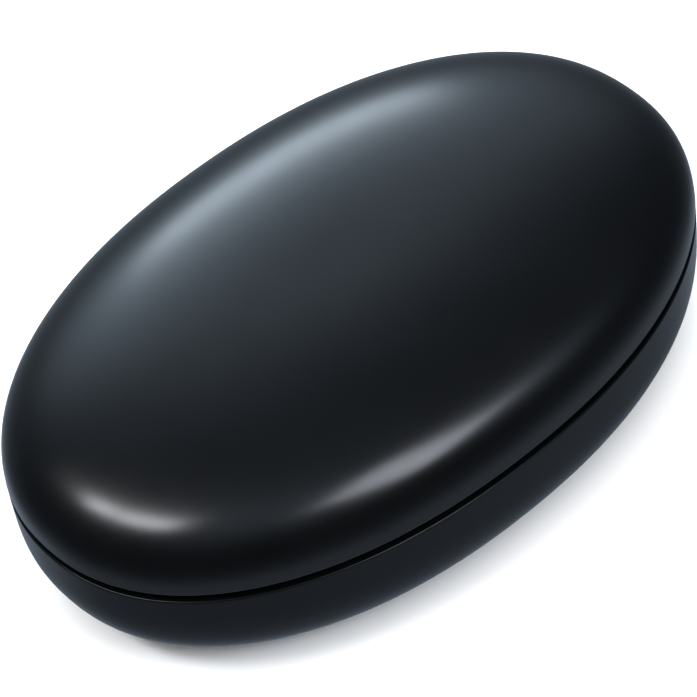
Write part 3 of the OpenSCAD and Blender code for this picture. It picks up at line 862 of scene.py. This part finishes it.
def build_liner(finishes):
    """Lid liner: a panel with a dome over each pocket."""
    edge = 0.25 * MM
    far = HALF_WIDTH * 0.9
    top = LINER_Z + LINER_WALL
    section = [(far, LINER_Z)]
    section += arc(LINER_INSET + edge, LINER_Z + edge, edge, -90, -180, 6)
    section += [(LINER_INSET, top), (far, top)]
    verts, faces = skin_rings(inset_rings(section), -1)
    obj = piece("liner_panel", verts, faces, "lid_liner", finishes)
    domes, hollows = [], []
    for centre, *_, radius, height, fillet in POCKETS:
        for place in both_ways(centre):
            domes.append(turned("dome", place, dome_profile(radius, height, fillet, 0)))
            hollows.append(turned("hollow", place, dome_profile(radius, height, fillet, LINER_WALL)))
    carve(obj, domes, "UNION")
    carve(obj, hollows)
    holes = [hinge_bay()]
    for place in LID_SCREWS:
        holes.append(hole(place, SCREW_HOLE_RADIUS, LINER_Z - MM, top + MM))
    carve(obj, holes)
    mark_sharp(obj, 32)
    weigh_normals(obj)


# ---------------------------------------------------------------- small parts
def build_pads(finishes):
    """Soft pads that press the earbuds down: rounded discs with two shallow rings."""
    low, high = pad_low.z, pad_high.z
    radius = pad_high.y - BODY_WELL[1]
    edge = 0.25 * MM
    face = low + 0.08 * MM
    half = 0.25 * MM
    profile = [(0, face)]
    for ring in (0.35, 0.65):
        middle = radius * ring
        profile += [(middle - half, face), (middle - half * 0.4, low)]
        profile += [(middle + half * 0.4, low), (middle + half, face)]
    profile += [(radius - 2 * edge, low)]
    profile += arc(radius - edge, low + edge, edge, -90, 0, 6)
    profile += [(radius, high), (0, high)]
    turned_piece("bud_pads", both_ways(BODY_WELL), profile, "lid_bud_pads", finishes)


def build_button(finishes):
    """Button cap: a shallow finger dish on top, a flange under the deck and a foot on the switch."""
    top = button_high.z
    foot = button_low.z
    flange_top = DECK_BOTTOM - 0.1 * MM
    flange_low = flange_top - 0.5 * MM
    radius, flange, edge = 2 * MM, 2.5 * MM, 0.22 * MM
    profile = [(0, foot), (0.9 * MM, foot), (1 * MM, foot + 0.1 * MM), (1 * MM, flange_low)]
    profile += [(flange, flange_low), (flange, flange_top), (radius, flange_top)]
    profile += arc(radius - edge, top - edge, edge, 0, 90, 6)
    dish = radius - 2 * edge
    dish_depth = 0.14 * MM
    dish_steps = 8
    for i in range(dish_steps + 1):
        share = 1 - i / dish_steps
        profile.append((dish * share, top - dish_depth * (1 - share ** 2)))
    turned_piece("button_top", [BUTTON_PLACE], profile, "button_cap", finishes)


# Edge rounding, in millimetres, of each CAD node that keeps its own outline.
EDGES = {
    "lid_hinge_leaf": 0.14, "base_hinge_leaf": 0.14, "lid_hinge_screws": 0.08, "base_hinge_screws": 0.08,
    "lid_closing_magnet": 0.2, "base_closing_magnet": 0.2, "lid_sensor_magnet": 0.15,
    "bud_magnets_left": 0.15, "bud_magnets_right": 0.15, "hinge_bush": 0.06, "hinge_pin": 0.12,
    "hinge_spring": 0, "tray_seal": 0.08, "pin_barrels_left": 0.05, "pin_barrels_right": 0.05,
    "charge_pin_left_inner": 0.03, "charge_pin_left_outer": 0.03,
    "charge_pin_right_inner": 0.03, "charge_pin_right_outer": 0.03,
    "pin_flex_left": 0.03, "pin_flex_right": 0.03, "main_pcb": 0.06, "pcb_screws": 0.08,
    "usb_shell": 0.07, "usb_tongue": 0.06, "usb_contacts": 0.01,
    "charger_chip": 0.06, "controller_chip": 0.06, "power_inductor": 0.2, "pcb_capacitors": 0.06,
    "hall_sensor": 0.06, "status_led": 0.08, "light_guide": 0.1, "switch_plunger": 0.1,
    "button_switch": 0.1, "battery_cell": 0.35, "battery_foam": 0.15, "battery_protection_board": 0.06,
    "battery_lead_positive": 0, "battery_lead_negative": 0, "battery_connector": 0.12,
}


def build_small_parts(finishes):
    for node, width in EDGES.items():
        refine(node, width * MM, finishes)


def build_pin_springs(finishes):
    """Coil springs under the charging pins, each with a mesh of its own."""
    for side in ("left", "right"):
        for reach in ("inner", "outer"):
            node = f"pin_spring_{side}_{reach}"
            spring = refine(node, 0, finishes)
            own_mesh(spring)


# ---------------------------------------------------------------- stage, lights, camera
def direction(azimuth, elevation):
    """Unit vector towards a viewer or light. Azimuth 0 is on the -Y side, 90 on the +X side."""
    a, e = math.radians(azimuth), math.radians(elevation)
    return Vector((math.sin(a) * math.cos(e), -math.cos(a) * math.cos(e), math.sin(e)))


def build_floor():
    """Pale paper that the case stands on."""
    mesh = bpy.data.meshes.new("floor")
    near, far = -FLOOR_HALF, FLOOR_HALF
    mesh.from_pydata([(near, near, 0), (far, near, 0), (far, far, 0), (near, far, 0)], [], [(0, 1, 2, 3)])
    floor = bpy.data.objects.new("floor", mesh)
    bpy.context.scene.collection.objects.link(floor)
    n = Nodes("floor_paper")
    n.paint(n.noise(40 * MM, 3), (0.9, 0.9, 0.9), (0.92, 0.92, 0.92))
    n.set(Roughness=0.9, Specular_IOR_Level=0.1)
    mesh.materials.append(n.material)
    floor.visible_glossy = False


def soft_box(name, azimuth, elevation, width, height, tilt, radiance, colour):
    """An area light of that angular size, in degrees, seen from the case."""
    light = bpy.data.lights.new(name, "AREA")
    light.shape = "RECTANGLE"
    light.size = 2 * LIGHT_DISTANCE * math.tan(math.radians(width / 2))
    light.size_y = 2 * LIGHT_DISTANCE * math.tan(math.radians(height / 2))
    light.energy = radiance * math.pi * light.size * light.size_y
    light.color = colour
    obj = bpy.data.objects.new(name, light)
    towards = direction(azimuth, elevation)
    obj.location = Vector((0, 0, SEAM)) + towards * LIGHT_DISTANCE
    turn = towards.to_track_quat("Z", "Y").to_matrix().to_4x4()
    turn = turn @ Matrix.Rotation(math.radians(tilt), 4, "Z")
    obj.matrix_world = Matrix.Translation(obj.location) @ turn
    bpy.context.scene.collection.objects.link(obj)
    return obj


def build_lights():
    # The left box bends along its length, so it is two boxes end to end.
    soft_box(
        "left_box_low", azimuth=-123.8, elevation=49.3, width=10.4, height=8.6, tilt=39,
        radiance=17.4, colour=(0.96, 0.99, 1.03),
    )
    soft_box(
        "left_box_high", azimuth=-98.5, elevation=57.7, width=20, height=9.1, tilt=22,
        radiance=15.8, colour=(0.96, 0.99, 1.03),
    )
    soft_box(
        "front_box", azimuth=10, elevation=43.5, width=17, height=27, tilt=31,
        radiance=7.9, colour=(0.93, 0.99, 1.09),
    )
    soft_box(
        "rear_box", azimuth=152.5, elevation=26, width=21.5, height=9.2, tilt=9,
        radiance=7.1, colour=(0.86, 1.0, 1.12),
    )
    overhead = soft_box(
        "overhead_fill", azimuth=0, elevation=89, width=90, height=90, tilt=0,
        radiance=2.7, colour=(1.0, 0.98, 0.955),
    )
    overhead.visible_glossy = False


def lobe(tree, towards, azimuth, elevation, sharpness, strength):
    """A smooth patch in the world that is strongest in one direction."""
    aim = direction(azimuth, elevation)
    dot = calculate(tree, "ShaderNodeVectorMath", "DOT_PRODUCT", towards, aim)
    level = math.log(strength) - sharpness
    fall = calculate(tree, "ShaderNodeMath", "MULTIPLY_ADD", dot, sharpness, level)
    return calculate(tree, "ShaderNodeMath", "EXPONENT", fall)


def build_world():
    """Dim studio: brighter towards the floor and the rear, with the soft patches added."""
    world = bpy.data.worlds.new("studio")
    bpy.context.scene.world = world
    world.use_nodes = True
    tree = world.node_tree
    towards = tree.nodes.new("ShaderNodeTexCoord").outputs["Generated"]
    split = tree.nodes.new("ShaderNodeSeparateXYZ")
    tree.links.new(towards, split.inputs["Vector"])
    height = tree.nodes.new("ShaderNodeMapRange")
    height.inputs["From Min"].default_value = -1
    tree.links.new(split.outputs["Z"], height.inputs["Value"])
    ramp = tree.nodes.new("ShaderNodeValToRGB")
    elements = ramp.color_ramp.elements
    while len(elements) < len(WORLD_LEVELS):
        elements.new(0.5)
    for element, (position, level) in zip(elements, WORLD_LEVELS):
        element.position = position
        element.color = (*(level * share for share in WORLD_TINT), 1)
    tree.links.new(height.outputs["Result"], ramp.inputs["Fac"])
    glows = 0.0
    for glow in GLOWS:
        glows = calculate(tree, "ShaderNodeMath", "ADD", glows, lobe(tree, towards, *glow))
    shaded = ramp.outputs["Color"]
    for shade in SHADES:
        rest = calculate(tree, "ShaderNodeMath", "SUBTRACT", 1.0, lobe(tree, towards, *shade))
        shaded = calculate(tree, "ShaderNodeVectorMath", "MULTIPLY", shaded, rest)
    total = calculate(tree, "ShaderNodeVectorMath", "MULTIPLY_ADD", glows, GLOW_TINT, shaded)
    tree.links.new(total, tree.nodes["Background"].inputs["Color"])


def build_camera():
    """The camera at the photograph's angle."""
    scene = bpy.context.scene
    camera = bpy.data.cameras.new("camera")
    camera.sensor_width = 36
    camera.lens = CAMERA_LENS
    camera.clip_start = 0.01
    camera.clip_end = 10
    obj = bpy.data.objects.new("camera", camera)
    scene.collection.objects.link(obj)
    back = direction(CAMERA_AZIMUTH, CAMERA_ELEVATION)
    flat_right = Vector((0, 0, 1)).cross(back).normalized()
    roll = Matrix.Rotation(math.radians(CAMERA_ROLL), 3, back)
    right = roll @ flat_right
    up = back.cross(right)
    place = Vector((0, 0, SEAM)) + back * CAMERA_DISTANCE
    aim = Vector((0, 0, SEAM)) + AIM_RIGHT * right + AIM_UP * up
    back = (place - aim).normalized()
    right = (right - back * right.dot(back)).normalized()
    up = back.cross(right)
    turn = Matrix((right, up, back)).transposed().to_4x4()
    obj.matrix_world = Matrix.Translation(place) @ turn
    scene.camera = obj
    scene.view_settings.view_transform = "Standard"
    scene.view_settings.look = "None"


build_camera()
build_world()
build_lights()
build_floor()
finishes = build_materials()
build_lid_shell(finishes)
build_base_shell(finishes)
build_tray(finishes)
build_liner(finishes)
build_pads(finishes)
build_button(finishes)
build_small_parts(finishes)
build_pin_springs(finishes)
for name, node in frame["nodes"].items():
    node.data.materials.clear()
    node.data.materials.append(finishes.get(name, finishes[SLOT_OF[name]]))
